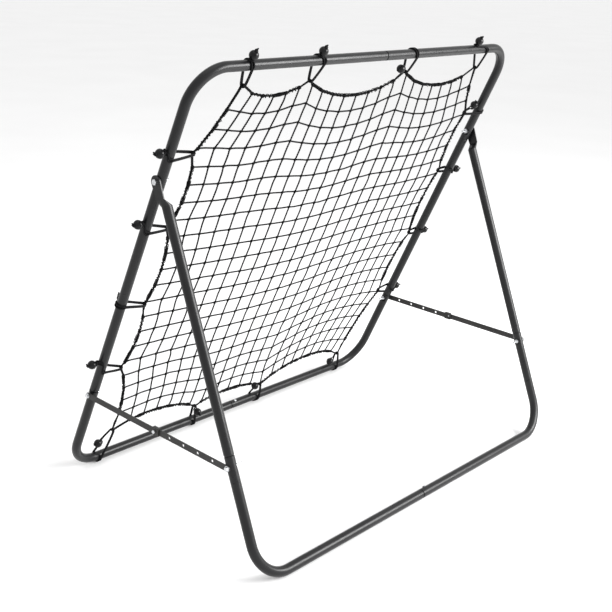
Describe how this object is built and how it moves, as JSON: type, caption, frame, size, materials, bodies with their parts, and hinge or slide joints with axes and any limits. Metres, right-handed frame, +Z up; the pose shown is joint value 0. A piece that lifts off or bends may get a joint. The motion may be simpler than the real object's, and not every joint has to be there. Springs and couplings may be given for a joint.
{
  "type": "pitch back rebounder",
  "caption": "Free-standing folding steel tube frame with a square ball net held by elastic ball loops, a rear leg frame and pinned adjustable side struts.",
  "frame": {"origin": "on the ground, under the middle of the object's bounding box, midway between the front and rear ground tubes", "axes": "+Z up, -Y towards the player who throws at the net, +X the right-hand side seen by that player"},
  "size_m": [1.3272, 0.7667, 1.1772],
  "materials": {
    "tube_paint": "satin black-grey powder coat",
    "bar_paint": "satin dark grey powder coat",
    "zinc_plate": "bright zinc plate",
    "dark_screw": "black oxide",
    "net_twine": "black knotless polyester twine",
    "border_rope": "black braided border rope, whipped with twine",
    "elastic_cord": "black braided elastic cord",
    "ball_plastic": "black moulded plastic"
  },
  "bodies": {
    "net_frame": {"top_corner_tube_right": "tube_paint", "top_corner_tube_left": "tube_paint", "side_tube_right": "tube_paint", "side_tube_left": "tube_paint", "bottom_corner_tube_right": "tube_paint", "bottom_corner_tube_left": "tube_paint", "pivot_bolt_right": "zinc_plate", "pivot_bolt_left": "zinc_plate", "pivot_nut_right": "zinc_plate", "pivot_nut_left": "zinc_plate", "front_strut_bolt_right": "zinc_plate", "front_strut_bolt_left": "zinc_plate", "front_strut_nut_right": "zinc_plate", "front_strut_nut_left": "zinc_plate", "top_seam_screw": "zinc_plate", "bottom_seam_screw": "zinc_plate", "net_panel": "net_twine", "net_border_rope": "border_rope", "top_loop_1": "elastic_cord", "top_loop_2": "elastic_cord", "top_loop_3": "elastic_cord", "top_loop_4": "elastic_cord", "left_loop_1": "elastic_cord", "left_loop_2": "elastic_cord", "left_loop_3": "elastic_cord", "left_loop_4": "elastic_cord", "bottom_loop_1": "elastic_cord", "bottom_loop_2": "elastic_cord", "bottom_loop_3": "elastic_cord", "bottom_loop_4": "elastic_cord", "right_loop_1": "elastic_cord", "right_loop_2": "elastic_cord", "right_loop_3": "elastic_cord", "right_loop_4": "elastic_cord", "top_balls": "ball_plastic", "left_balls": "ball_plastic", "bottom_balls": "ball_plastic", "right_balls": "ball_plastic"},
    "leg_frame": {"leg_tube_right": "tube_paint", "leg_tube_left": "tube_paint", "rear_corner_tube_right": "tube_paint", "rear_corner_tube_left": "tube_paint", "rear_strut_bolt_right": "zinc_plate", "rear_strut_bolt_left": "zinc_plate", "rear_strut_nut_right": "zinc_plate", "rear_strut_nut_left": "zinc_plate", "rear_seam_screw": "dark_screw"},
    "plain_bar_right": {"plain_bar_right": "bar_paint", "bar_clip_right": "bar_paint"},
    "holed_bar_right": {"holed_bar_right": "bar_paint"},
    "lock_pin_right": {"lock_pin_right": "zinc_plate"},
    "holed_bar_left": {"holed_bar_left": "bar_paint"},
    "plain_bar_left": {"plain_bar_left": "bar_paint", "bar_clip_left": "bar_paint"},
    "lock_pin_left": {"lock_pin_left": "zinc_plate"}
  },
  "joints": [
    {"name": "leg_fold", "type": "hinge", "parent": "net_frame", "child": "leg_frame", "pos_m": [0, 0.00566, 0.88006], "axis": [-1, 0, 0], "range_deg": [0, 18.19]},
    {"name": "strut_pivot_right", "type": "hinge", "parent": "net_frame", "child": "plain_bar_right", "pos_m": [0.6286, -0.25833, 0.2697], "axis": [-1, 0, 0], "range_deg": [0, 9.2]},
    {"name": "strut_slide_right", "type": "slide", "parent": "plain_bar_right", "child": "holed_bar_right", "axis": [0, -1, 0.0065], "range_m": [0, 0.2005]},
    {"name": "lock_pin_slide_right", "type": "slide", "parent": "plain_bar_right", "child": "lock_pin_right", "axis": [1, 0, 0], "range_m": [-0.003, 0.01]},
    {"name": "strut_pivot_left", "type": "hinge", "parent": "net_frame", "child": "holed_bar_left", "pos_m": [-0.6263, -0.25833, 0.2697], "axis": [-1, 0, 0], "range_deg": [0, 9.2]},
    {"name": "strut_slide_left", "type": "slide", "parent": "holed_bar_left", "child": "plain_bar_left", "axis": [0, -1, 0.0065], "range_m": [0, 0.2005]},
    {"name": "lock_pin_slide_left", "type": "slide", "parent": "plain_bar_left", "child": "lock_pin_left", "axis": [-1, 0, 0], "range_m": [-0.003, 0.01]}
  ],
  "couplings": [
    {"joint": "strut_pivot_right", "follows": "leg_fold", "ratio": 0.5},
    {"joint": "strut_slide_right", "follows": "leg_fold", "m_per_rad": 0.63009},
    {"joint": "strut_pivot_left", "follows": "leg_fold", "ratio": 0.5},
    {"joint": "strut_slide_left", "follows": "leg_fold", "m_per_rad": 0.63009}
  ]
}
